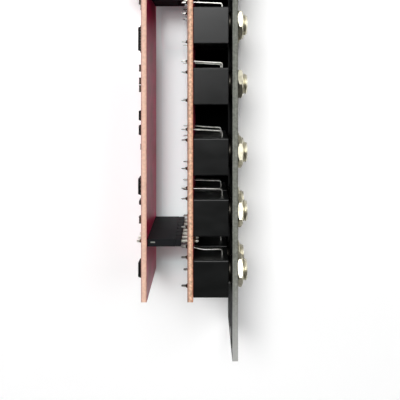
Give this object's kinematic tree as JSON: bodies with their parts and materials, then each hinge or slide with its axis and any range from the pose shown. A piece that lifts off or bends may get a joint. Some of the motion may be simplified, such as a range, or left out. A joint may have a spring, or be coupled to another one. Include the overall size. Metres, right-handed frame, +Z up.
{
  "type": "synthesizer rack module",
  "caption": "Narrow rack module with two columns of threaded 3.5 mm patch jacks, a jack board behind the panel and a main board on pin headers, with sprung tip contacts.",
  "frame": {"origin": "midway between the two rail screw holes, on the panel's rear face", "axes": "+Z up along the panel's height as it hangs in a rack, -Y out of the panel's front, +X to the right seen from the front"},
  "size_m": [0.02, 0.0385, 0.1284],
  "materials": {
    "panel_laminate": "satin solder mask over glass laminate",
    "board_laminate": "red solder mask over glass laminate",
    "jack_plastic": "moulded",
    "nickel_plate": "nickel plated",
    "contact_metal": "tin plated",
    "pin_metal": "tin plated",
    "header_plastic": "moulded",
    "chip_resin": "moulded",
    "ceramic": "fired ceramic with tinned ends"
  },
  "bodies": {
    "module": {"chip_capacitors": "ceramic", "chip_leads": "pin_metal", "chip_resistors": "ceramic", "front_panel": "panel_laminate", "header_pins": "pin_metal", "hex_nuts": "nickel_plate", "jack_board": "board_laminate", "jack_bushings": "nickel_plate", "jack_housing_01": "jack_plastic", "jack_housing_02": "jack_plastic", "jack_housing_03": "jack_plastic", "jack_housing_04": "jack_plastic", "jack_housing_05": "jack_plastic", "jack_housing_06": "jack_plastic", "jack_housing_07": "jack_plastic", "jack_housing_08": "jack_plastic", "jack_housing_09": "jack_plastic", "jack_housing_10": "jack_plastic", "jack_housing_11": "jack_plastic", "jack_housing_12": "jack_plastic", "lower_header_socket": "header_plastic", "lower_pin_carrier": "header_plastic", "main_board": "board_laminate", "power_diode": "chip_resin", "power_header_carrier": "header_plastic", "power_header_pins": "pin_metal", "quad_chip": "chip_resin", "sleeve_lugs": "contact_metal", "small_chip": "chip_resin", "small_diodes": "chip_resin", "socket_contacts": "pin_metal", "switch_contacts": "contact_metal", "tip_terminals": "contact_metal", "transistors": "chip_resin", "upper_header_socket": "header_plastic", "upper_pin_carrier": "header_plastic"},
    "spring_01": {"tip_spring_01": "contact_metal"},
    "spring_02": {"tip_spring_02": "contact_metal"},
    "spring_03": {"tip_spring_03": "contact_metal"},
    "spring_04": {"tip_spring_04": "contact_metal"},
    "spring_05": {"tip_spring_05": "contact_metal"},
    "spring_06": {"tip_spring_06": "contact_metal"},
    "spring_07": {"tip_spring_07": "contact_metal"},
    "spring_08": {"tip_spring_08": "contact_metal"},
    "spring_09": {"tip_spring_09": "contact_metal"},
    "spring_10": {"tip_spring_10": "contact_metal"},
    "spring_11": {"tip_spring_11": "contact_metal"},
    "spring_12": {"tip_spring_12": "contact_metal"}
  },
  "joints": [
    {"name": "tip_leaf_01", "type": "hinge", "parent": "module", "child": "spring_01", "pos_m": [-0.0023, 0.0036, -0.04562], "axis": [-1, 0, 0], "range_deg": [0, 11], "stiffness_Nm_per_rad": 0.06},
    {"name": "tip_leaf_02", "type": "hinge", "parent": "module", "child": "spring_02", "pos_m": [-0.0023, 0.0036, -0.02852], "axis": [-1, 0, 0], "range_deg": [0, 11], "stiffness_Nm_per_rad": 0.06},
    {"name": "tip_leaf_03", "type": "hinge", "parent": "module", "child": "spring_03", "pos_m": [-0.0023, 0.0036, -0.01142], "axis": [-1, 0, 0], "range_deg": [0, 11], "stiffness_Nm_per_rad": 0.06},
    {"name": "tip_leaf_04", "type": "hinge", "parent": "module", "child": "spring_04", "pos_m": [-0.0023, 0.0036, 0.00838], "axis": [-1, 0, 0], "range_deg": [0, 11], "stiffness_Nm_per_rad": 0.06},
    {"name": "tip_leaf_05", "type": "hinge", "parent": "module", "child": "spring_05", "pos_m": [-0.0023, 0.0036, 0.02548], "axis": [-1, 0, 0], "range_deg": [0, 11], "stiffness_Nm_per_rad": 0.06},
    {"name": "tip_leaf_06", "type": "hinge", "parent": "module", "child": "spring_06", "pos_m": [-0.0023, 0.0036, 0.04258], "axis": [-1, 0, 0], "range_deg": [0, 11], "stiffness_Nm_per_rad": 0.06},
    {"name": "tip_leaf_07", "type": "hinge", "parent": "module", "child": "spring_07", "pos_m": [0.0073, 0.0036, -0.04562], "axis": [-1, 0, 0], "range_deg": [0, 11], "stiffness_Nm_per_rad": 0.06},
    {"name": "tip_leaf_08", "type": "hinge", "parent": "module", "child": "spring_08", "pos_m": [0.0073, 0.0036, -0.02852], "axis": [-1, 0, 0], "range_deg": [0, 11], "stiffness_Nm_per_rad": 0.06},
    {"name": "tip_leaf_09", "type": "hinge", "parent": "module", "child": "spring_09", "pos_m": [0.0073, 0.0036, -0.01142], "axis": [-1, 0, 0], "range_deg": [0, 11], "stiffness_Nm_per_rad": 0.06},
    {"name": "tip_leaf_10", "type": "hinge", "parent": "module", "child": "spring_10", "pos_m": [0.0073, 0.0036, 0.00838], "axis": [-1, 0, 0], "range_deg": [0, 11], "stiffness_Nm_per_rad": 0.06},
    {"name": "tip_leaf_11", "type": "hinge", "parent": "module", "child": "spring_11", "pos_m": [0.0073, 0.0036, 0.02548], "axis": [-1, 0, 0], "range_deg": [0, 11], "stiffness_Nm_per_rad": 0.06},
    {"name": "tip_leaf_12", "type": "hinge", "parent": "module", "child": "spring_12", "pos_m": [0.0073, 0.0036, 0.04258], "axis": [-1, 0, 0], "range_deg": [0, 11], "stiffness_Nm_per_rad": 0.06}
  ]
}
